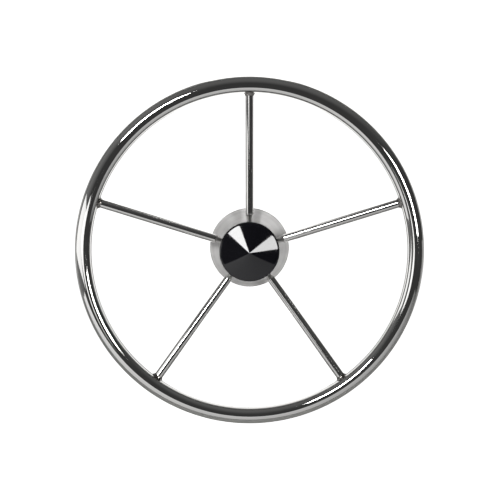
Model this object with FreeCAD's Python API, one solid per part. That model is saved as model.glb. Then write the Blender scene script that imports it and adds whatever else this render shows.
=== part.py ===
import FreeCAD, Part
import math
import os

from FreeCAD import Rotation, Vector

# Millimetres, +Z up, the shaft's axis along Y and the helmsman's side towards -Y
# The origin is the centre of the shaft bore's mouth, in the hub's back face

# Rim: a tube bent to a ring, its one joint ground flush
rim_outer_diameter = 394.0
rim_tube_diameter = 19.0
rim_tube_wall = 1.5
rim_weld_radius = 3.2

# Spokes: solid bars, turned down at the hub end and saddle cut at the rim
spoke_count = 5
spoke_diameter = 9.5
spoke_root_height = 23.5
spoke_dish = 22.0
neck_start_radius = 41.0
neck_shoulder_length = 2.4
neck_diameter = 6.8
tenon_diameter = 5.6
tenon_depth = 8.0
tenon_chamfer = 0.6
tenon_fit = 0.05
hub_weld_radius = 1.8

# Hub: one turned piece, a flange at the back and a boss that takes the spokes
flange_diameter = 91.0
flange_edge = 4.0
flange_rise = 2.5
flange_edge_break = 0.6
flange_root_radius = 2.0
boss_diameter = 55.0
boss_length = 46.5
boss_edge_break = 0.8
back_recess_outer_diameter = 76.0
back_recess_inner_diameter = 32.0
back_recess_depth = 2.5

# Shaft bore: one in twelve taper for a three quarter inch shaft, with a square keyway
taper_mouth_diameter = 19.05
taper_ratio = 1 / 12
taper_length = 28.0
keyway_width = 4.76
keyway_depth = 2.4

# Nut recess in the front of the boss
recess_diameter = 40.0
recess_floor_radius = 1.0
recess_mouth_chamfer = 0.8

# Washer and thin hexagon nut that draw the hub onto the taper
washer_bore_diameter = 17.5
washer_outer_diameter = 33.0
washer_thickness = 2.4
washer_edge_break = 0.3
nut_across_flats = 23.8
nut_height = 9.5
nut_bore_diameter = 14.6
nut_mouth_chamfer = 0.8
nut_corner_angle = 30.0

# Cap: a moulded cone whose split spigot pushes into the nut recess
cap_diameter = 68.0
cap_edge_height = 3.2
cap_cone_rise = 11.0
cap_shoulder_radius = 3.0
cap_wall = 2.4
cap_skirt_drop = 4.0
cap_skirt_edge_break = 0.4
spigot_clearance = 0.3
spigot_wall = 1.8
spigot_length = 9.0
spigot_lead = 0.7
finger_count = 6
finger_gap = 2.0
finger_root = 1.5
cap_rib_width = 1.6

seam_tolerance = 0.001

rim_radius = (rim_outer_diameter - rim_tube_diameter) / 2
rim_tube_radius = rim_tube_diameter / 2
rim_plane_height = spoke_root_height + spoke_dish
spoke_radius = spoke_diameter / 2
tenon_radius = tenon_diameter / 2
boss_radius = boss_diameter / 2
flange_radius = flange_diameter / 2
recess_radius = recess_diameter / 2
spoke_tilt = math.atan2(spoke_dish, rim_radius - boss_radius)
spoke_pitch = 360 / spoke_count

shaft_axis = Vector(0, 1, 0)
forward = Vector(0, -1, 0)


def turned(outline):
    """A solid of revolution about the shaft's axis from (radius, height) points, height to the front."""
    points = [Vector(radius, -height, 0) for radius, height in outline]
    face = Part.Face(Part.makePolygon(points + points[:1]))
    return face.revolve(Vector(0, 0, 0), shaft_axis, 360)


def bored(radius, start_height, length):
    """A plain round cutter on the shaft's axis, from one height towards the front."""
    return Part.makeCylinder(radius, length, Vector(0, -start_height, 0), forward)


def ring_edges(solid, radius, height):
    """The full circles of a turned solid at one radius and height."""
    found = []
    for edge in solid.Edges:
        if not isinstance(edge.Curve, Part.Circle) or not edge.Closed:
            continue
        at_radius = abs(edge.Curve.Radius - radius) < seam_tolerance
        at_height = abs(edge.Curve.Center.y + height) < seam_tolerance
        if at_radius and at_height:
            found.append(edge)
    return found


def around_shaft(shape, angle):
    """A copy of a shape turned about the shaft's axis."""
    copy = shape.copy()
    copy.rotate(Vector(0, 0, 0), shaft_axis, angle)
    return copy


def along_spoke(shape):
    """Moves a shape from the Z axis to the top spoke, whose zero is where it meets the boss wall."""
    placed = shape.copy()
    placed.Placement = FreeCAD.Placement(
        Vector(0, -spoke_root_height, boss_radius),
        Rotation(Vector(1, 0, 0), math.degrees(spoke_tilt)),
    )
    return placed


# Rim tube
def rim_torus(tube_radius):
    """A whole ring whose own start lies midway between two spokes."""
    ring = Part.makeTorus(rim_radius, tube_radius, Vector(0, -rim_plane_height, 0), shaft_axis)
    return around_shaft(ring, spoke_pitch / 2)


def make_rim_tube():
    return rim_torus(rim_tube_radius).cut(rim_torus(rim_tube_radius - rim_tube_wall))


# Spokes
def spoke_bar():
    """The whole bar before its saddle is cut, reaching to the middle of the rim tube."""
    run = math.cos(spoke_tilt)
    reach = (rim_radius - boss_radius) / run
    neck_start = (neck_start_radius - boss_radius) / run
    neck_foot = neck_start - neck_shoulder_length
    outline = [
        (0, -tenon_depth),
        (tenon_radius - tenon_chamfer, -tenon_depth),
        (tenon_radius, -tenon_depth + tenon_chamfer),
        (tenon_radius, 2 * hub_weld_radius),
        (neck_diameter / 2, neck_foot),
        (spoke_radius, neck_start),
        (spoke_radius, reach),
        (0, reach),
    ]
    points = [Vector(radius, 0, along) for radius, along in outline]
    face = Part.Face(Part.makePolygon(points + points[:1]))
    return along_spoke(face.revolve(Vector(0, 0, 0), Vector(0, 0, 1), 360))


def make_spoke():
    return spoke_bar().cut(rim_torus(rim_tube_radius))


# Weld beads: a hollow fillet rolled round the seam of a bar and what carries it
def weld_bead(carrier, bar, bead_radius):
    joined = carrier.fuse(bar)
    seams = []
    for edge in joined.Edges:
        middle = Part.Vertex(edge.valueAt((edge.FirstParameter + edge.LastParameter) / 2))
        on_carrier = carrier.Shells[0].distToShape(middle)[0] < seam_tolerance
        on_bar = bar.Shells[0].distToShape(middle)[0] < seam_tolerance
        if on_carrier and on_bar:
            seams.append(edge)
    return joined.makeFillet(bead_radius, seams).cut(joined)


def make_rim_weld():
    return weld_bead(rim_torus(rim_tube_radius), spoke_bar(), rim_weld_radius)


def make_hub_weld():
    return weld_bead(bored(boss_radius, 0, boss_length), spoke_bar(), hub_weld_radius)


# Hub
def shaft_taper():
    """The tapered bore, with its mouth diameter in the plane of the hub's back face."""
    mouth_radius = taper_mouth_diameter / 2
    end_radius = mouth_radius - taper_length * taper_ratio / 2
    return Part.makeCone(mouth_radius, end_radius, taper_length, Vector(0, 0, 0), forward)


def keyway():
    """The keyway's cutter, at the top of the bore."""
    height = taper_mouth_diameter / 2 + keyway_depth
    corner = Vector(-keyway_width / 2, -taper_length, 0)
    return Part.makeBox(keyway_width, taper_length, height, corner)


def nut_recess():
    depth = boss_length - taper_length
    recess = bored(recess_radius, taper_length, depth)
    return recess.makeFillet(recess_floor_radius, ring_edges(recess, recess_radius, taper_length))


def tenon_socket():
    length = tenon_depth + tenon_diameter
    return along_spoke(Part.makeCylinder(tenon_radius + tenon_fit, length, Vector(0, 0, -tenon_depth)))


def back_recess():
    """The shallow ring turned out of the flange's back."""
    ring = bored(back_recess_outer_diameter / 2, 0, back_recess_depth)
    return ring.cut(bored(back_recess_inner_diameter / 2, 0, back_recess_depth))


def make_hub():
    root_height = flange_edge + flange_rise
    hub = turned([
        (0, 0),
        (flange_radius, 0),
        (flange_radius, flange_edge),
        (boss_radius, root_height),
        (boss_radius, boss_length),
        (0, boss_length),
    ])
    hub = hub.makeFillet(flange_root_radius, ring_edges(hub, boss_radius, root_height))
    rims = ring_edges(hub, flange_radius, 0) + ring_edges(hub, flange_radius, flange_edge)
    hub = hub.makeFillet(flange_edge_break, rims)
    hub = hub.makeChamfer(boss_edge_break, ring_edges(hub, boss_radius, boss_length))
    hub = hub.cut(back_recess()).cut(shaft_taper()).cut(keyway()).cut(nut_recess())
    hub = hub.makeChamfer(recess_mouth_chamfer, ring_edges(hub, recess_radius, boss_length))
    for number in range(spoke_count):
        hub = hub.cut(around_shaft(tenon_socket(), number * spoke_pitch))
    return hub


# Washer and nut
def make_shaft_washer():
    washer = bored(washer_outer_diameter / 2, taper_length, washer_thickness)
    washer = washer.makeChamfer(washer_edge_break, [edge for edge in washer.Edges if edge.Closed])
    return washer.cut(bored(washer_bore_diameter / 2, taper_length, washer_thickness))


def make_shaft_nut():
    seat = taper_length + washer_thickness
    corner_radius = nut_across_flats / math.sqrt(3)
    corners = []
    for number in range(7):
        angle = math.radians(60 * number)
        corners.append(Vector(corner_radius * math.cos(angle), -seat, corner_radius * math.sin(angle)))
    hexagon = Part.Face(Part.makePolygon(corners)).extrude(forward * nut_height)
    corner_drop = (corner_radius - nut_across_flats / 2) * math.tan(math.radians(nut_corner_angle))
    blank = turned([
        (0, seat),
        (nut_across_flats / 2, seat),
        (corner_radius, seat + corner_drop),
        (corner_radius, seat + nut_height - corner_drop),
        (nut_across_flats / 2, seat + nut_height),
        (0, seat + nut_height),
    ])
    nut = hexagon.common(blank).cut(bored(nut_bore_diameter / 2, seat, nut_height))
    mouths = ring_edges(nut, nut_bore_diameter / 2, seat) + ring_edges(nut, nut_bore_diameter / 2, seat + nut_height)
    return nut.makeChamfer(nut_mouth_chamfer, mouths)


# Cap
def cap_cone(radius, skirt_height, edge_height, apex_height):
    return turned([(0, skirt_height), (radius, skirt_height), (radius, edge_height), (0, apex_height)])


def make_hub_cap():
    cap_radius = cap_diameter / 2
    skirt_height = boss_length - cap_skirt_drop
    edge_height = boss_length + cap_edge_height
    apex_height = edge_height + cap_cone_rise
    spigot_radius = recess_radius - spigot_clearance
    spigot_end = boss_length - spigot_length
    slope = math.atan2(cap_cone_rise, cap_radius)
    roof_drop = cap_wall / math.cos(slope)
    inner_edge_height = edge_height + cap_wall * math.tan(slope) - roof_drop

    outside = cap_cone(cap_radius, skirt_height, edge_height, apex_height)
    inside = cap_cone(cap_radius - cap_wall, skirt_height, inner_edge_height, apex_height - roof_drop)
    shell = outside.cut(inside)
    shell = shell.makeFillet(cap_shoulder_radius, ring_edges(shell, cap_radius, edge_height))
    shell = shell.makeChamfer(cap_skirt_edge_break, ring_edges(shell, cap_radius, skirt_height))

    roof_depth = apex_height - spigot_end
    spigot = bored(spigot_radius, spigot_end, roof_depth)
    spigot = spigot.makeChamfer(spigot_lead, ring_edges(spigot, spigot_radius, spigot_end))
    spigot = spigot.cut(bored(spigot_radius - spigot_wall, spigot_end, roof_depth))
    gap = Part.makeBox(finger_gap, spigot_length - finger_root, 2 * spigot_radius)
    gap.translate(Vector(-finger_gap / 2, finger_root - boss_length, 0))
    rib_reach = cap_radius - cap_wall / 2 - spigot_radius + spigot_wall / 2
    rib = Part.makeBox(cap_rib_width, apex_height - boss_length, rib_reach)
    rib.translate(Vector(-cap_rib_width / 2, -apex_height, spigot_radius - spigot_wall / 2))
    web = spigot
    for number in range(finger_count):
        angle = number * 360 / finger_count
        web = web.cut(around_shaft(gap, angle + 180 / finger_count))
        web = web.fuse(around_shaft(rib, angle))
    return shell.fuse(web.common(inside)).removeSplitter()


nodes = {
    "rim_tube": make_rim_tube(),
    "hub": make_hub(),
    "shaft_washer": make_shaft_washer(),
    "shaft_nut": make_shaft_nut(),
    "hub_cap": make_hub_cap(),
}
spoke_set = {
    "spoke": make_spoke(),
    "rim_weld": make_rim_weld(),
    "hub_weld": make_hub_weld(),
}
for name, piece in spoke_set.items():
    for number in range(spoke_count):
        nodes[f"{name}_{number + 1}"] = around_shaft(piece, number * spoke_pitch)

os.makedirs("parts", exist_ok=True)
for name, shape in nodes.items():
    shape.exportStep(f"parts/{name}.step")
    print(name, round(shape.Volume), "cubic mm")
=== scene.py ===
import math
import bpy
import bmesh
from mathutils import Matrix, Quaternion, Vector, noise


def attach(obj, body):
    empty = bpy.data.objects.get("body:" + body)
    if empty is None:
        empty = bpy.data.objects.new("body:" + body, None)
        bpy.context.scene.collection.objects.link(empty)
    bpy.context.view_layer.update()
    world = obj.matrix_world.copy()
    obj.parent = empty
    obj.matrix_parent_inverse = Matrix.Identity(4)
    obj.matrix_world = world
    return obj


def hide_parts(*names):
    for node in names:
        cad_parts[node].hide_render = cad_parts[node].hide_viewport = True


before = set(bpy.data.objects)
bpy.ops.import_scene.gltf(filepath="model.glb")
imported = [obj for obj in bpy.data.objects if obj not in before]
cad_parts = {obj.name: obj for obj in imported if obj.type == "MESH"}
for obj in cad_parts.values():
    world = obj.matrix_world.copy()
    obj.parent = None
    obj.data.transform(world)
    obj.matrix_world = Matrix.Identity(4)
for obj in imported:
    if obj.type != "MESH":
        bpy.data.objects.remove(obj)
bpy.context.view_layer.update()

mm = 0.001
print("frame loaded:", len(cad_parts), "solids")

# the wheel's own lay-out in mm, as its drawing has it: shaft along Y, front towards -Y, first spoke up
wheel = {
    "rimOuter": 394.0,
    "rimTube": 19.0,
    "spokes": 5,
    "spokeDiameter": 9.5,
    "tenonDiameter": 5.6,    # what the spokes are turned down to where they enter the boss
    "spokeRoot": 23.5,       # how far in front of the back face the spokes leave the boss
    "spokeDish": 22.0,       # how far they come forward on the way to the rim
    "bossDiameter": 55.0,
}
rimRadius = (wheel["rimOuter"] - wheel["rimTube"]) / 2 * mm
tubeRadius = wheel["rimTube"] / 2 * mm
bossRadius = wheel["bossDiameter"] / 2 * mm
rimCentre = Vector((0, -(wheel["spokeRoot"] + wheel["spokeDish"]) * mm, 0))
spokeTilt = math.atan2(wheel["spokeDish"] * mm, rimRadius - bossRadius)
spokeStart = Vector((0, -wheel["spokeRoot"] * mm, bossRadius))
spokeAlong = Vector((0, -math.sin(spokeTilt), math.cos(spokeTilt)))
spokeSide = Vector((1, 0, 0))
spokeBack = Vector((0, math.cos(spokeTilt), math.sin(spokeTilt)))


# colours are written as hex, as on screen, and turned to linear here
def linear(hexColour):
    parts = [int(hexColour[i:i + 2], 16) / 255 for i in (1, 3, 5)]
    return tuple(p / 12.92 if p <= 0.04045 else ((p + 0.055) / 1.055) ** 2.4 for p in parts) + (1,)


def addNode(tree, kind, settings=(), links=()):
    node = tree.nodes.new(kind)
    for key, value in dict(settings).items():
        if isinstance(key, str) and hasattr(node, key):
            setattr(node, key, value)
        else:
            node.inputs[key].default_value = value
    for key, source in dict(links).items():
        tree.links.new(source, node.inputs[key])
    return node


def newFinish(name, settings):
    finish = bpy.data.materials.new(name)
    finish.use_nodes = True
    shader = finish.node_tree.nodes["Principled BSDF"]
    for key, value in settings.items():
        shader.inputs[key].default_value = value
    return finish, finish.node_tree, shader


def objectPlace(tree):       # the piece's own coordinates, in metres
    return addNode(tree, "ShaderNodeTexCoord").outputs["Object"]


def grainOf(tree, name):     # a direction or place that the piece's points keep
    return addNode(tree, "ShaderNodeAttribute", {"attribute_name": name}).outputs["Vector"]


# noise whose features are about that many mm apart
def mottle(tree, place, sizeMm, detail=2.0):
    settings = {"Scale": 1000 / sizeMm, "Detail": detail}
    return addNode(tree, "ShaderNodeTexNoise", settings, {"Vector": place}).outputs["Fac"]


# a colour that goes from one to the other with a pattern
def shades(tree, first, second, pattern):
    settings = {"data_type": "RGBA", 6: linear(first), 7: linear(second)}
    return addNode(tree, "ShaderNodeMix", settings, {"Factor": pattern}).outputs[2]


# a value that goes from low to high while the pattern goes from start to end
def levels(tree, pattern, low, high, start=0.3, end=0.7, curve="LINEAR"):
    settings = {"interpolation_type": curve, "From Min": start, "From Max": end,
                "To Min": low, "To Max": high}
    return addNode(tree, "ShaderNodeMapRange", settings, {"Value": pattern}).outputs["Result"]


# fine relief from a pattern, alone or over another relief
def relief(tree, pattern, strength, deepMm, under=None):
    settings = {"Strength": strength, "Distance": deepMm * mm}
    bump = addNode(tree, "ShaderNodeBump", settings, {"Height": pattern})
    if under is not None:
        tree.links.new(under, bump.inputs["Normal"])
    return bump.outputs["Normal"]


def product(tree, first, second):
    return addNode(tree, "ShaderNodeMath", {"operation": "MULTIPLY"}, {0: first, 1: second}).outputs[0]


def joinTo(tree, shader, sources):
    for key, source in sources.items():
        tree.links.new(source, shader.inputs[key])


# bright polished tube, drawn then mopped round the ring: almost a mirror, with faint mop lines
# that only show as a slight softness along the highlights
def polishedStainlessTube():
    look = {"light": "#cccbc9", "dark": "#c4c4c3", "mopLineMm": 0.9, "mopRunMm": 45, "waveMm": 38,
            "smoothest": 0.03, "roughest": 0.075, "wave": 0.12, "waveDeepMm": 0.1,
            "line": 0.04, "lineDeepMm": 0.004}
    finish, tree, shader = newFinish("polished_stainless_tube", {"Metallic": 1.0, "Roughness": 0.05})
    grain = grainOf(tree, "grain")
    drawnOut = (look["mopLineMm"] / look["mopRunMm"], 1, 1)
    stretch = addNode(tree, "ShaderNodeVectorMath", {"operation": "MULTIPLY", 1: drawnOut}, {0: grain})
    lines = mottle(tree, stretch.outputs["Vector"], look["mopLineMm"], 3.0)
    waves = mottle(tree, grain, look["waveMm"], 1.0)
    swell = relief(tree, waves, look["wave"], look["waveDeepMm"])
    joinTo(tree, shader, {
        "Base Color": shades(tree, look["dark"], look["light"], waves),
        "Roughness": levels(tree, lines, look["smoothest"], look["roughest"]),
        "Normal": relief(tree, lines, look["line"], look["lineDeepMm"], swell),
    })
    return finish


# bright bar, centreless ground then mopped nearly to a mirror: what is left of the fine rings round it
# draws each reflection out a little along the bar, so it shows clean dark and light stripes;
# the real rings are 0.1 mm apart and are drawn coarser to show
def polishedStainlessBar():
    look = {"light": "#cbcac8", "dark": "#bebdbc", "ringMm": 5, "cloudMm": 30,
            "smoothest": 0.08, "roughest": 0.1, "ring": 0.02, "ringDeepMm": 0.004}
    steel = {"Metallic": 1.0, "Roughness": 0.09, "Anisotropic": 0.3}
    finish, tree, shader = newFinish("centreless_ground_bar", steel)
    grain = grainOf(tree, "grain")
    rings = mottle(tree, grain, look["ringMm"], 1.0)
    cloud = mottle(tree, grain, look["cloudMm"])
    joinTo(tree, shader, {
        "Base Color": shades(tree, look["dark"], look["light"], cloud),
        "Roughness": levels(tree, rings, look["smoothest"], look["roughest"]),
        "Normal": relief(tree, rings, look["ring"], look["ringDeepMm"]),
        "Tangent": grainOf(tree, "run"),
    })
    return finish


# arc welded and only lightly dressed: duller and greyer than the bars, lumpy, with a darker brown
# in patches laid over it at random
def dressedStainlessWeld():
    look = {"clean": "#82807e", "tint": "#4e4842", "tintFrom": 0.45, "tintFull": 0.75, "lumpMm": 1.6,
            "scratchMm": 0.3, "smoothest": 0.12, "roughest": 0.24, "lump": 0.2, "lumpDeepMm": 0.06}
    finish, tree, shader = newFinish("dressed_stainless_weld", {"Metallic": 1.0, "Roughness": 0.2})
    place = objectPlace(tree)
    lumps = mottle(tree, place, look["lumpMm"])
    scratches = mottle(tree, place, look["scratchMm"], 4.0)
    # darker brown laid over the bead wherever the lumps' noise runs high
    brownPatches = levels(tree, lumps, 0.0, 1.0, look["tintFrom"], look["tintFull"])
    joinTo(tree, shader, {
        "Base Color": shades(tree, look["clean"], look["tint"], brownPatches),
        "Roughness": levels(tree, scratches, look["smoothest"], look["roughest"]),
        "Normal": relief(tree, lumps, look["lump"], look["lumpDeepMm"]),
    })
    return finish


# faced and turned in a lathe: satin, with fine rings about the shaft that fan the light out across them;
# the real feed is 0.15 mm and is drawn coarser to show
def turnedStainless():
    look = {"light": "#d6d5d4", "dark": "#b4b3b2", "ringMm": 1.3, "chatterMm": 6.0,
            "smoothest": 0.54, "roughest": 0.66, "ring": 0.35, "ringDeepMm": 0.03}
    steel = {"Metallic": 1.0, "Roughness": 0.6, "Anisotropic": 0.35}
    finish, tree, shader = newFinish("turned_stainless", steel)
    place = objectPlace(tree)
    apart = addNode(tree, "ShaderNodeSeparateXYZ", {}, {"Vector": place})
    flat = addNode(tree, "ShaderNodeCombineXYZ", {}, {"X": apart.outputs["X"], "Z": apart.outputs["Z"]})
    radius = addNode(tree, "ShaderNodeVectorMath", {"operation": "LENGTH"}, {0: flat.outputs["Vector"]})
    cut = addNode(tree, "ShaderNodeCombineXYZ", {}, {"X": radius.outputs["Value"], "Y": apart.outputs["Y"]})
    rings = mottle(tree, cut.outputs["Vector"], look["ringMm"], 3.0)
    chatter = mottle(tree, place, look["chatterMm"])
    spin = addNode(tree, "ShaderNodeTangent", {"direction_type": "RADIAL", "axis": "Y"})
    joinTo(tree, shader, {
        "Base Color": shades(tree, look["dark"], look["light"], rings),
        "Roughness": levels(tree, chatter, look["smoothest"], look["roughest"]),
        "Normal": relief(tree, rings, look["ring"], look["ringDeepMm"]),
        "Tangent": spin.outputs["Tangent"],
    })
    return finish


# bright machined stock: clean facets with fine tool marks, softer where it was only turned down
def machinedStainless(name, smoothest, roughest):
    look = {"light": "#c6c5c3", "dark": "#b3b2b0", "markMm": 0.5, "mark": 0.15, "markDeepMm": 0.01}
    finish, tree, shader = newFinish(name, {"Metallic": 1.0, "Roughness": smoothest})
    marks = mottle(tree, objectPlace(tree), look["markMm"], 4.0)
    joinTo(tree, shader, {
        "Base Color": shades(tree, look["dark"], look["light"], marks),
        "Roughness": levels(tree, marks, smoothest, roughest),
        "Normal": relief(tree, marks, look["mark"], look["markDeepMm"]),
    })
    return finish


# black polypropylene moulded in a polished tool: deep, glossy, with hairline handling marks
def glossMouldedPlastic():
    look = {"light": "#0b0b10", "dark": "#07070c", "hairMm": 0.4, "hairFrom": 0.35, "hairFull": 0.75,
            "smoothest": 0.045, "roughest": 0.1, "sinkMm": 14, "sink": 0.05, "sinkDeepMm": 0.02}
    finish, tree, shader = newFinish("gloss_moulded_polypropylene", {"Roughness": 0.06, "IOR": 1.49})
    place = objectPlace(tree)
    hair = mottle(tree, place, look["hairMm"], 5.0)
    sink = mottle(tree, place, look["sinkMm"])
    worn = (look["hairFrom"], look["hairFull"])
    joinTo(tree, shader, {
        "Base Color": shades(tree, look["dark"], look["light"], sink),
        "Roughness": levels(tree, hair, look["smoothest"], look["roughest"], *worn),
        "Normal": relief(tree, sink, look["sink"], look["sinkDeepMm"]),
    })
    return finish


tubeFinish = polishedStainlessTube()
barFinish = polishedStainlessBar()
weldFinish = dressedStainlessWeld()
hubFinish = turnedStainless()
fastenerFinish = machinedStainless("machined_stainless", 0.16, 0.3)
neckFinish = machinedStainless("turned_down_stainless", 0.26, 0.38)
capFinish = glossMouldedPlastic()
print("finishes made")


def dress(node, finish):
    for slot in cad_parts[node].material_slots:
        slot.material = finish


def faceOut(mesh):           # turns a skin's faces the right way round
    work = bmesh.new()
    work.from_mesh(mesh)
    bmesh.ops.recalc_face_normals(work, faces=work.faces)
    work.to_mesh(mesh)
    work.free()


# a skin over rings of points, closed at its ends or, as a loop, back to its first ring; smooth but for
# edges sharper than creaseAngle; grain is each point's place along and across the stock, in metres,
# for the lines of the finish
def skinRings(name, rings, finish, grain=(), loop=False, creaseAngle=35):
    count = len(rings[0])
    faces = []
    for i in range(len(rings) if loop else len(rings) - 1):
        here, after = i * count, (i + 1) % len(rings) * count
        for j in range(count):
            k = (j + 1) % count
            faces.append((here + j, here + k, after + k, after + j))
    if not loop:
        faces.append(tuple(reversed(range(count))))
        faces.append(tuple(range((len(rings) - 1) * count, len(rings) * count)))
    mesh = bpy.data.meshes.new(name)
    mesh.from_pydata([p for ring in rings for p in ring], [], faces)
    mesh.shade_smooth()
    mesh.set_sharp_from_angle(angle=math.radians(creaseAngle))
    if grain:
        lay = mesh.attributes.new("grain", "FLOAT_VECTOR", "POINT")
        lay.data.foreach_set("vector", [c for ring in grain for g in ring for c in g])
    mesh.materials.append(finish)
    faceOut(mesh)
    piece = bpy.data.objects.new(name, mesh)
    bpy.context.scene.collection.objects.link(piece)
    return piece


def turnedTo(number):        # the matrix that takes the top spoke's place to another's
    return Matrix.Rotation(math.radians(360 / wheel["spokes"] * number), 4, "Y")


# rim: one tube bent to a ring, its joint at the bottom ground flush
def makeRim():
    rim = {"stepsRound": 480, "stepsAcross": 64}
    rings, grain = [], []
    for i in range(rim["stepsRound"]):
        a = -math.pi / 2 + 2 * math.pi * i / rim["stepsRound"]
        out = Vector((math.cos(a), 0, math.sin(a)))
        ring, lay = [], []
        for j in range(rim["stepsAcross"]):
            b = 2 * math.pi * j / rim["stepsAcross"]
            across, forward = tubeRadius * math.cos(b), tubeRadius * math.sin(b)
            ring.append(rimCentre + out * (rimRadius + across) + Vector((0, -forward, 0)))
            lay.append((rimRadius * (a + math.pi / 2), across, forward))
        rings.append(ring)
        grain.append(lay)
    piece = skinRings("rim_polished", rings, tubeFinish, grain, loop=True)
    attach(piece, "wheel")
    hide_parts("rim_tube")


def offRim(p):               # distance of a point from the rim tube's surface
    return math.hypot(math.hypot(p.x, p.z) - rimRadius, p.y - rimCentre.y) - tubeRadius


def offBoss(p):              # distance of a point from the hub's boss wall
    return math.hypot(p.x, p.z) - bossRadius


# what the bars are welded to: how far off it a point is, how far along the bar in mm a walk onto it
# starts, and which way along the bar it goes
rimWall = {"distance": offRim, "start": 145, "way": 1}
bossWall = {"distance": offBoss, "start": 4, "way": -1}
walkSteps = 40               # more than enough to settle on either wall


def onSpoke(angle, radius, along):       # a point on the top spoke's bar
    across = spokeStart + spokeSide * (radius * math.cos(angle)) + spokeBack * (radius * math.sin(angle))
    return across + spokeAlong * along


def reachOnto(wall, angle, radius):      # how far along the bar it meets a wall
    along = wall["start"] * mm
    for step in range(walkSteps):
        along += wall["way"] * wall["distance"](onSpoke(angle, radius, along))
    return along


# spokes: solid bars, turned down to a neck and tenon at the hub and saddle cut to the rim
def makeSpokes():
    bar = {
        "stepsAcross": 48,
        "tenonDepth": 8.0,
        "tenonChamfer": 0.6,
        "neckStart": 3.6,        # lengths along the bar from the boss: here the tenon starts to widen
        "shoulderStart": 11.2,   # here the neck ends and opens out
        "shoulderEnd": 13.63,    # here it has reached the full bar
        "neck": 6.8,             # the neck's diameter at its shoulder
        "soft": 0.5,             # how far along the bar the shoulder's corners are rounded
        "softAcross": (0.05, 0.12, 0.55),    # how much their rounds differ in diameter, at three places
        "evenFrom": 20,          # rings of points along the full bar
        "evenTo": 140,
        "evenStep": 10,
    }
    tenon, neck, full = wheel["tenonDiameter"], bar["neck"], wheel["spokeDiameter"]
    depth, chamfer, soft = bar["tenonDepth"], bar["tenonChamfer"], bar["soft"]
    opens, opened = bar["shoulderStart"], bar["shoulderEnd"]
    near, middle, far = bar["softAcross"]
    outline = [
        (tenon - 2 * chamfer, -depth), (tenon, chamfer - depth), (tenon, bar["neckStart"]),
        (neck - near, opens - soft), (neck + middle, opens), (neck + far, opens + soft),
        (full - far, opened - soft), (full - middle, opened),
        (full, opened + soft), (full, opened + 3 * soft),
    ]
    outline += [(full, along) for along in range(bar["evenFrom"], bar["evenTo"] + 1, bar["evenStep"])]
    for number in range(wheel["spokes"]):
        rings, grain = [], []
        for diameter, along in outline + [(full, None)]:     # the last ring is the saddle cut
            ring, lay = [], []
            for j in range(bar["stepsAcross"]):
                a = 2 * math.pi * j / bar["stepsAcross"]
                r = diameter / 2 * mm
                length = reachOnto(rimWall, a, r) if along is None else along * mm
                ring.append(onSpoke(a, r, length))
                lay.append((length + number, r * math.cos(a), r * math.sin(a)))      # no two spokes alike
            rings.append(ring)
            grain.append(lay)
        piece = skinRings(f"spoke_bar_{number + 1}", rings, barFinish, grain)
        piece.data.materials.append(neckFinish)
        for face in piece.data.polygons:     # the neck and its shoulder are left as turned
            if (face.center - spokeStart).dot(spokeAlong) < opened * mm:
                face.material_index = 1
        piece.data.transform(turnedTo(number))
        run = piece.data.attributes.new("run", "FLOAT_VECTOR", "POINT")
        run.data.foreach_set("vector", list(turnedTo(number) @ spokeAlong) * len(piece.data.vertices))
        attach(piece, "wheel")
        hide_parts(f"spoke_{number + 1}")


# welds: beads laid round the bars' ends in short overlapping puddles, hollow between bar and carrier;
# sizes in mm
weld = {
    "rim": {"stepsRound": 168, "stepsAcross": 10, "puddles": 24, "legOnBar": 3.5, "legOnCarrier": 2.7,
            "fullness": 0.25, "ripple": 0.12, "lump": 0.35},
    "hub": {"stepsRound": 120, "stepsAcross": 8, "puddles": 18, "legOnBar": 1.9, "legOnCarrier": 1.8,
            "fullness": 0.2, "ripple": 0.08, "lump": 0.2},
    "sink": 0.06,            # how deep a bead's edges lie in the metal, and its hidden root
    "root": 0.3,
    "lumpLoop": 3,           # radius of the loop through the noise that the lumps follow
    "lumpsOn": 7.3,          # how far on in the noise the next spoke's lumps are
}


def layBead(name, bead, wall, radius, number):
    distance, sink, root = wall["distance"], weld["sink"], weld["root"]
    tiny = 0.01 * mm
    axes = [Vector(axis) for axis in ((1, 0, 0), (0, 1, 0), (0, 0, 1))]
    rings = []
    for i in range(bead["stepsRound"]):
        a = 2 * math.pi * i / bead["stepsRound"]
        seam = onSpoke(a, radius, reachOnto(wall, a, radius))
        slope = Vector([distance(seam + axis * tiny) - distance(seam) for axis in axes]).normalized()
        outward = spokeSide * math.cos(a) + spokeBack * math.sin(a)
        away = (outward - slope * outward.dot(slope)).normalized()
        puddle = (a * bead["puddles"] / (2 * math.pi)) % 1
        loopSize = weld["lumpLoop"]
        spot = Vector((loopSize * math.cos(a), loopSize * math.sin(a), weld["lumpsOn"] * number))
        lump = noise.noise(spot) * bead["lump"]
        swell = (1 - (2 * puddle - 1) ** 2) * bead["ripple"] + lump
        onBar = seam - spokeAlong * wall["way"] * (bead["legOnBar"] + lump) * mm - outward * sink * mm
        onCarrier = seam + away * (bead["legOnCarrier"] + lump) * mm
        onCarrier -= slope * (distance(onCarrier) + sink * mm)
        middle = (onBar + onCarrier) / 2
        bend = seam.lerp(middle, bead["fullness"])
        ring = []
        for k in range(bead["stepsAcross"] + 1):
            t = k / bead["stepsAcross"]
            p = onBar * (1 - t) ** 2 + bend * 2 * t * (1 - t) + onCarrier * t ** 2
            p += (middle - seam).normalized() * swell * mm * math.sin(math.pi * t)
            ring.append(p)
        ring.append(seam - outward * root * mm - slope * root * mm)
        rings.append(ring)
    piece = skinRings(name, rings, weldFinish, loop=True, creaseAngle=60)
    piece.data.transform(turnedTo(number))
    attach(piece, "wheel")
    return piece


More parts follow.
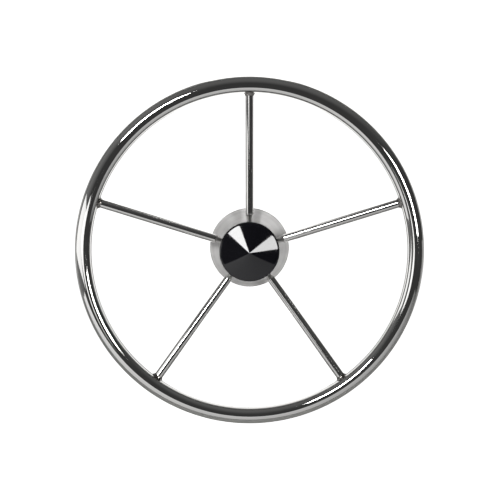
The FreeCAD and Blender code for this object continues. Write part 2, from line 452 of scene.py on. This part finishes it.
def makeWelds():
    barRadius, tenonRadius = wheel["spokeDiameter"] / 2 * mm, wheel["tenonDiameter"] / 2 * mm
    for number in range(wheel["spokes"]):
        atRim = layBead(f"rim_bead_{number + 1}", weld["rim"], rimWall, barRadius, number)
        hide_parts(f"rim_weld_{number + 1}")
        atHub = layBead(f"hub_bead_{number + 1}", weld["hub"], bossWall, tenonRadius, number)
        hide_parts(f"hub_weld_{number + 1}")


# a point in metres, from a radius, an angle about the shaft and a height in front of the back face, in mm
def aboutShaft(radius, angle, height):
    return Vector((radius * math.cos(angle), -height, radius * math.sin(angle))) * mm


# rings about the shaft for a turned or moulded shape, from (radius, height) pairs
def turnRings(outline, steps):
    angles = [2 * math.pi * j / steps for j in range(steps)]
    return [[aboutShaft(radius, a, height) for a in angles] for radius, height in outline]


# a block that is bent round the shaft between two angles, from (radius, height) corners
def bentBlock(corners, start, end, steps):
    angles = [start + (end - start) * i / steps for i in range(steps + 1)]
    return [[aboutShaft(radius, a, height) for radius, height in corners] for a in angles]


# cap: a shallow cone with a round shoulder, hollow inside, on a split spigot that springs into the
# nut recess; sizes in mm, heights in front of the hub's back face
cap = {
    "radius": 34.0,
    "skirt": 42.5,
    "edge": 49.7,
    "apex": 60.7,
    "wall": 2.4,
    "shoulder": 3.0,
    "shoulderSteps": 14,
    "tip": 0.5,              # the mould's tip is never quite sharp
    "tipSteps": 6,
    "tipFlat": 0.004,
    "skirtBreak": 0.4,
    "insideSoft": 0.2,       # how rounded its inside corners are
    "coneRings": (31, 26, 20, 14, 8, 4, 2, 1, 0.5),
    "roofRings": (0.02, 1, 12, 24),
    "steps": 216,
    "spigotOuter": 19.7,
    "spigotInner": 17.9,
    "spigotEnd": 37.5,
    "collarSteps": 120,
    "fingerRoot": 45.0,
    "fingers": 6,
    "fingerGap": 2.0,
    "fingerSteps": 20,
    "lead": 0.7,             # the lead-in on the fingers' ends, and how soft its edge is
    "leadSoft": 0.15,
    "ribFoot": 46.5,
    "ribHalf": 0.8,
    "ribMiddle": 26,
    "ribInto": 0.5,          # how far the ribs reach into the collar
    "sink": 0.1,             # how far joined pieces reach into each other
}
capSlope = math.atan2(cap["apex"] - cap["edge"], cap["radius"])


def roofAt(radius):          # height of the cap's inside at a radius
    return cap["apex"] - cap["wall"] / math.cos(capSlope) - radius * math.tan(capSlope)


def capOutline():
    outer, inside, skirt = cap["radius"], cap["radius"] - cap["wall"], cap["skirt"]
    soft, edgeBreak, r = cap["insideSoft"], cap["skirtBreak"], cap["shoulder"]
    line = [(radius, roofAt(radius)) for radius in (*cap["roofRings"], inside - 3 * soft)]
    line += [
        (inside - soft, roofAt(inside) - 1.25 * soft), (inside, roofAt(inside) - 4 * soft),
        (inside, skirt + soft), (inside + soft, skirt),
        (outer - edgeBreak, skirt), (outer - 0.25 * edgeBreak, skirt + 0.3 * edgeBreak),
        (outer, skirt + edgeBreak),
    ]
    middle = cap["edge"] - r * (1 - math.sin(capSlope)) / math.cos(capSlope)
    for i in range(cap["shoulderSteps"] + 1):
        a = (math.pi / 2 - capSlope) * i / cap["shoulderSteps"]
        line.append((outer - r + r * math.cos(a), middle + r * math.sin(a)))
    line += [(radius, cap["apex"] - radius * math.tan(capSlope)) for radius in cap["coneRings"]]
    ball = cap["apex"] - cap["tip"] / math.cos(capSlope)
    for i in range(cap["tipSteps"]):
        a = capSlope * (1 - i / cap["tipSteps"])
        line.append((cap["tip"] * math.sin(a), ball + cap["tip"] * math.cos(a)))
    line.append((cap["tipFlat"], ball + cap["tip"]))
    return line


def ribRings():              # a web that stands on the boss and reaches up into the roof
    half, foot, sink = cap["ribHalf"], cap["ribFoot"], cap["sink"]
    start, end = cap["spigotOuter"] - cap["ribInto"], cap["radius"] - cap["wall"] + sink
    rings = []
    for radius in (start, cap["ribMiddle"], end):
        head = roofAt(radius) + 1.5 * sink
        corners = ((-half, foot), (half, foot), (half, head), (-half, head))
        rings.append([Vector((radius, -height, side)) * mm for side, height in corners])
    return rings


def makeCap():
    outer, inner, end, root = cap["spigotOuter"], cap["spigotInner"], cap["spigotEnd"], cap["fingerRoot"]
    lead, soft, sink = cap["lead"], cap["leadSoft"], cap["sink"]
    finger = [(inner, end), (outer - lead, end), (outer - soft, end + lead - soft), (outer, end + lead),
              (outer, root + sink), (inner, root + sink)]
    collar = [(inner, root), (outer, root),
              (outer, roofAt(outer) + 2 * sink), (inner, roofAt(inner) + 2 * sink)]
    share = 2 * math.pi / cap["fingers"]
    slit = cap["fingerGap"] / 2 / outer
    pieces = [skinRings("cap_shell", turnRings(capOutline(), cap["steps"]), capFinish, creaseAngle=25)]
    for number in range(cap["fingers"]):
        gap = share * (number + 0.5)
        block = bentBlock(finger, gap + slit, gap + share - slit, cap["fingerSteps"])
        pieces.append(skinRings(f"cap_finger_{number + 1}", block, capFinish))
        rib = skinRings(f"cap_rib_{number + 1}", ribRings(), capFinish)
        rib.data.transform(Matrix.Rotation(-share * number, 4, "Y"))
        pieces.append(rib)
    pieces.append(skinRings("cap_collar", turnRings(collar, cap["collarSteps"]), capFinish, loop=True))
    for piece in pieces:
        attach(piece, "cap")
        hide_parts("hub_cap")


# nut: thin hexagon, both faces chamfered, cut with a real thread; sizes in mm
def makeNut():
    nut = {
        "seat": 30.4,            # its back face, in front of the hub's
        "height": 9.5,
        "acrossFlats": 23.8,
        "faceInset": 0.15,       # how far inside the flats the faces' round edges are
        "chamferReach": 1.25,    # the rings for the chamfer go on a little past it
        "chamferRings": 8,
        "minor": 14.6,
        "major": 15.9,
        "pitch": 1.41,
        "flanks": 1.25,          # over 1 leaves the thread's crests flat
        "threadRings": 60,
        "mouth": 0.8,
        "steps": 180,
    }
    flat, top, minor = nut["acrossFlats"] / 2, nut["height"], nut["minor"] / 2
    drop = (flat / math.cos(math.pi / 6) - flat) * math.tan(math.pi / 6)
    rings = []

    def addRing(height, radiusAt):
        angles = [2 * math.pi * j / nut["steps"] for j in range(nut["steps"])]
        rings.append([aboutShaft(radiusAt(a, height), a, nut["seat"] + height) for a in angles])

    def outside(a, height):
        hexagon = flat / math.cos((a % (math.pi / 3)) - math.pi / 6)
        edge = min(height, top - height)
        return min(hexagon, flat - nut["faceInset"] + edge / math.tan(math.pi / 6))

    def inside(a, height):
        turn = (height / nut["pitch"] - a / (2 * math.pi)) % 1
        groove = max(0, 1 - abs(2 * turn - 1) * nut["flanks"])
        thread = minor + (nut["major"] - nut["minor"]) / 2 * groove
        edge = min(height, top - height)
        return max(thread, minor + nut["mouth"] - edge)

    chamfer = [drop * nut["chamferReach"] * i / nut["chamferRings"] for i in range(nut["chamferRings"] + 1)]
    for height in chamfer:
        addRing(height, outside)
    for height in reversed(chamfer):
        addRing(top - height, outside)
    for i in range(nut["threadRings"] + 1):
        addRing(top - top * i / nut["threadRings"], inside)
    piece = skinRings("nut_threaded", rings, fastenerFinish, loop=True, creaseAngle=25)
    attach(piece, "wheel")
    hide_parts("shaft_nut")


makeRim()
makeSpokes()
makeWelds()
makeCap()
makeNut()
dress("hub", hubFinish)
dress("shaft_washer", fastenerFinish)
print("wheel dressed")


# studio: pale painted floor that sweeps up into a white wall behind the wheel, in a dim room; metres
studio = {
    "floorDrop": 0.32,       # floor below the shaft
    "wallAway": 3.0,
    "wallHeight": 6.5,
    "coveRadius": 0.8,
    "coveSteps": 16,
    "halfWidth": 7.0,
    "floorFront": -7.0,
    "frontFloor": -0.12,     # where the floor in front of the wheel ends and the one behind it starts
    "floorJoints": (0.2, 1.0),    # joints in the floor behind, so that its shading stays flat by the wheel
    "glowFront": 0.75,       # the paint's glow to the eye is this in front of the wheel, and 1 behind it
    "glowChange": (-0.15, 0.08),  # where it changes
    "wallInMetal": 0.4,      # its glow where metal mirrors it: none before the first of these two
    "litBehind": (0.22, 0.45),    # places, full past the second, and none again above this height
    "litHigh": 1.2,
    "litFade": 0.3,
    "gloomAhead": 0.055,     # how bright the rest of the room is: ahead, overhead, and added on the left
    "gloomAbove": 0.155,
    "gloomRises": 0.3,       # how high up, and how far to the left, its brightness starts to change
    "gloomLeft": 0.2,
    "leftStarts": -0.4,
}


# eggshell studio paint, rolled on: pale and matt, with a glow that makes it white to the eye, a little
# less so in front of the wheel; metal and glass see it glow only behind the wheel and low down
def studioPaint():
    look = {"paint": "#dcdcda", "worn": "#dadad8", "patchMm": 900,
            "stippleMm": 3, "stipple": 0.1, "stippleDeepMm": 0.2}
    finish, tree, shader = newFinish("rolled_studio_paint", {"Roughness": 0.8, "Specular IOR Level": 0.2})
    place = objectPlace(tree)
    stipple = mottle(tree, place, look["stippleMm"])
    patch = mottle(tree, place, look["patchMm"])
    apart = addNode(tree, "ShaderNodeSeparateXYZ", {}, {"Vector": place})
    away, height = apart.outputs["Y"], apart.outputs["Z"]
    fade = (studio["litHigh"] - studio["litFade"], studio["litHigh"] + studio["litFade"])
    behind = levels(tree, away, studio["glowFront"], 1.0, *studio["glowChange"], "SMOOTHSTEP")
    lit = levels(tree, away, 0.0, 1.0, *studio["litBehind"], "SMOOTHSTEP")
    low = levels(tree, height, studio["wallInMetal"], 0.0, *fade, "SMOOTHSTEP")
    path = addNode(tree, "ShaderNodeLightPath")
    metalOrGlass = addNode(tree, "ShaderNodeMath", {"operation": "MAXIMUM"},
                           {0: path.outputs["Is Glossy Ray"], 1: path.outputs["Is Transmission Ray"]})
    mirrored = product(tree, metalOrGlass.outputs[0], product(tree, lit, low))
    white = addNode(tree, "ShaderNodeMath", {"operation": "MULTIPLY_ADD"},
                    {0: path.outputs["Is Camera Ray"], 1: behind, 2: mirrored})
    glow = addNode(tree, "ShaderNodeEmission", {"Color": (1, 1, 1, 1)}, {"Strength": white.outputs[0]})
    both = addNode(tree, "ShaderNodeAddShader", {}, {0: shader.outputs[0], 1: glow.outputs[0]})
    joinTo(tree, shader, {
        "Base Color": shades(tree, look["worn"], look["paint"], patch),
        "Normal": relief(tree, stipple, look["stipple"], look["stippleDeepMm"]),
    })
    joinTo(tree, tree.nodes["Material Output"], {"Surface": both.outputs[0]})
    return finish


def makePanel(name, points, finish):         # a wall or board through pairs of points
    mesh = bpy.data.meshes.new(name)
    mesh.from_pydata(points, [], [(i, i + 1, i + 3, i + 2) for i in range(0, len(points) - 2, 2)])
    mesh.materials.append(finish)
    panel = bpy.data.objects.new(name, mesh)
    bpy.context.scene.collection.objects.link(panel)
    return panel


# the sweep behind the wheel, the floor in front, and the room's other walls, which only the camera sees
def makeSweep():
    low, r, far, near = -studio["floorDrop"], studio["coveRadius"], studio["wallAway"], studio["floorFront"]
    wide, start, top = studio["halfWidth"], studio["frontFloor"], studio["wallHeight"]
    back = [(y, low) for y in (start, *studio["floorJoints"])]
    for i in range(studio["coveSteps"] + 1):
        a = math.pi / 2 * i / studio["coveSteps"]
        back.append((far - r + r * math.sin(a), low + r - r * math.cos(a)))
    back.append((far, top))
    front = [(near, low), (start, low)]
    finish = studioPaint()
    for name, line in (("studio_sweep", back), ("studio_floor", front)):
        sweep = makePanel(name, [(side * wide, y, z) for y, z in line for side in (-1, 1)], finish)
        sweep.data.shade_smooth()
        sweep.visible_glossy = line is back      # in front the metal shows the board and the dim room instead
    plan = [(-wide, far), (-wide, near), (wide, near), (wide, far)]
    surround = makePanel("studio_surround", [(x, y, z) for x, y in plan for z in (low, top)], finish)
    surround.visible_glossy = surround.visible_diffuse = surround.visible_shadow = False


# soft boxes: azimuth from the camera's side towards the right, elevation, distance from the wheel in metres,
# their size in metres, how far they are tipped over on their stands in degrees, and how many times
# brighter than white their cloth is
softBoxes = {
    "box_far_left": {"azimuth": -69.4, "elevation": 1.6, "away": 0.31, "wide": 0.24, "high": 0.12,
                     "tipped": -17, "level": 1.4},
    "box_low_left": {"azimuth": -20.1, "elevation": -4.8, "away": 0.83, "wide": 0.36, "high": 0.14,
                     "tipped": -23, "level": 1.8},
    "box_upper_left": {"azimuth": -23.0, "elevation": 23.4, "away": 6.2, "wide": 1.82, "high": 1.04,
                       "tipped": 54, "level": 24.0},
    "box_right": {"azimuth": 35.4, "elevation": 6.3, "away": 1.95, "wide": 0.42, "high": 0.62,
                  "tipped": 6, "level": 17.5},
}


def hangLamp(name, middle, facing, tipped, wide, high, level):
    lamp = bpy.data.lights.new(name, "AREA")
    lamp.shape = "RECTANGLE"
    lamp.size = wide
    lamp.size_y = high
    lamp.energy = level * math.pi * wide * high     # watts that make the cloth that bright
    hung = bpy.data.objects.new(name, lamp)
    hung.location = middle
    hung.rotation_mode = "QUATERNION"
    hung.rotation_quaternion = (-facing).to_track_quat("Z", "Y") @ Quaternion((0, 0, 1), math.radians(tipped))
    hung.visible_camera = False
    bpy.context.scene.collection.objects.link(hung)


def hangSoftBoxes():
    for name, box in softBoxes.items():
        a, e = math.radians(box["azimuth"]), math.radians(box["elevation"])
        back = Vector((math.sin(a) * math.cos(e), -math.cos(a) * math.cos(e), math.sin(e)))
        middle = rimCentre + back * box["away"]
        hangLamp(name, middle, -back, box["tipped"], box["wide"], box["high"], box["level"])


# narrow strip lamp close behind the hub, which edges the lower rim with light
def hangStrip():
    strip = {"behind": 0.035, "low": -0.16, "high": 0.277, "wide": 0.125, "level": 1.2}
    middle = Vector((0, strip["behind"], (strip["low"] + strip["high"]) / 2))
    length = strip["high"] - strip["low"]
    hangLamp("strip_behind", middle, Vector((0, -1, 0)), 0, strip["wide"], length, strip["level"])


# glowing board lying in front of the wheel, off camera, brighter to the left; the metal's lower half and
# the cap show it. Its paint is nearly black, so that its light is the level given here
def layBoard():
    board = {
        "left": -0.85,
        "right": 0.9,
        "front": -0.65,
        "back": -0.13,
        "offFloor": 0.01,
        "level": 0.74,           # at x 0 and this y, with its rise per metre to the left and to the front
        "levelAt": -0.3,
        "toLeft": 0.85,
        "toFront": 0.3,
        "paint": "#101010",
        "gritMm": 4,
        "grit": 0.1,
        "gritDeepMm": 0.2,
    }
    look = {"Base Color": linear(board["paint"]), "Roughness": 0.8, "Emission Color": (1, 1, 1, 1)}
    finish, tree, shader = newFinish("painted_white_board", look)
    place = objectPlace(tree)
    rise = (-board["toLeft"], -board["toFront"], 0)
    towards = addNode(tree, "ShaderNodeVectorMath", {"operation": "DOT_PRODUCT", 1: rise}, {0: place})
    atShaft = board["level"] * (1 + board["toFront"] * board["levelAt"])
    strength = addNode(tree, "ShaderNodeMath", {"operation": "MULTIPLY_ADD", 1: board["level"], 2: atShaft},
                       {0: towards.outputs["Value"]})
    joinTo(tree, shader, {
        "Emission Strength": strength.outputs[0],
        "Normal": relief(tree, mottle(tree, place, board["gritMm"]), board["grit"], board["gritDeepMm"]),
    })
    height = board["offFloor"] - studio["floorDrop"]
    edges = [(x, y, height) for y in (board["front"], board["back"]) for x in (board["left"], board["right"])]
    laid = makePanel("low_board", edges, finish)
    laid.visible_camera = False
    laid.visible_shadow = False


def dimRoom():
    room = bpy.data.worlds.new("dim_room")
    room.use_nodes = True
    tree = room.node_tree
    sky = addNode(tree, "ShaderNodeTexCoord").outputs["Generated"]
    apart = addNode(tree, "ShaderNodeSeparateXYZ", {}, {"Vector": sky})
    ahead, overhead = studio["gloomAhead"], studio["gloomAbove"]
    above = levels(tree, apart.outputs["Z"], ahead, overhead, studio["gloomRises"], 1.0, "SMOOTHSTEP")
    left = levels(tree, apart.outputs["X"], 0.0, studio["gloomLeft"], studio["leftStarts"], -1.0)
    gloom = addNode(tree, "ShaderNodeMath", {"operation": "ADD"}, {0: above, 1: left})
    back = tree.nodes["Background"]
    back.inputs["Color"].default_value = (1, 1, 1, 1)
    joinTo(tree, back, {"Strength": gloom.outputs[0]})
    bpy.context.scene.world = room


makeSweep()
hangSoftBoxes()
hangStrip()
layBoard()
dimRoom()
print("studio set")

# camera: a little above the wheel and tilted down to it, on a long lens
eye = {"elevation": 6.5, "away": 2.0, "fieldMm": 563.8, "sensorMm": 36, "aimRight": 0.62, "aimUp": 1.8}


def setCamera():
    tilt = math.radians(eye["elevation"])
    back = Vector((0, -math.cos(tilt), math.sin(tilt)))
    up = Vector((0, math.sin(tilt), math.cos(tilt)))
    right = Vector((1, 0, 0))
    view = bpy.data.cameras.new("camera")
    view.sensor_width = eye["sensorMm"]
    view.lens = eye["sensorMm"] * eye["away"] / (eye["fieldMm"] * mm)
    camera = bpy.data.objects.new("camera", view)
    camera.location = rimCentre + back * eye["away"] + right * eye["aimRight"] * mm + up * eye["aimUp"] * mm
    camera.rotation_mode = "QUATERNION"
    camera.rotation_quaternion = back.to_track_quat("Z", "Y")
    bpy.context.scene.collection.objects.link(camera)
    bpy.context.scene.camera = camera
    bpy.context.scene.view_settings.view_transform = "Standard"


setCamera()
print("camera set")
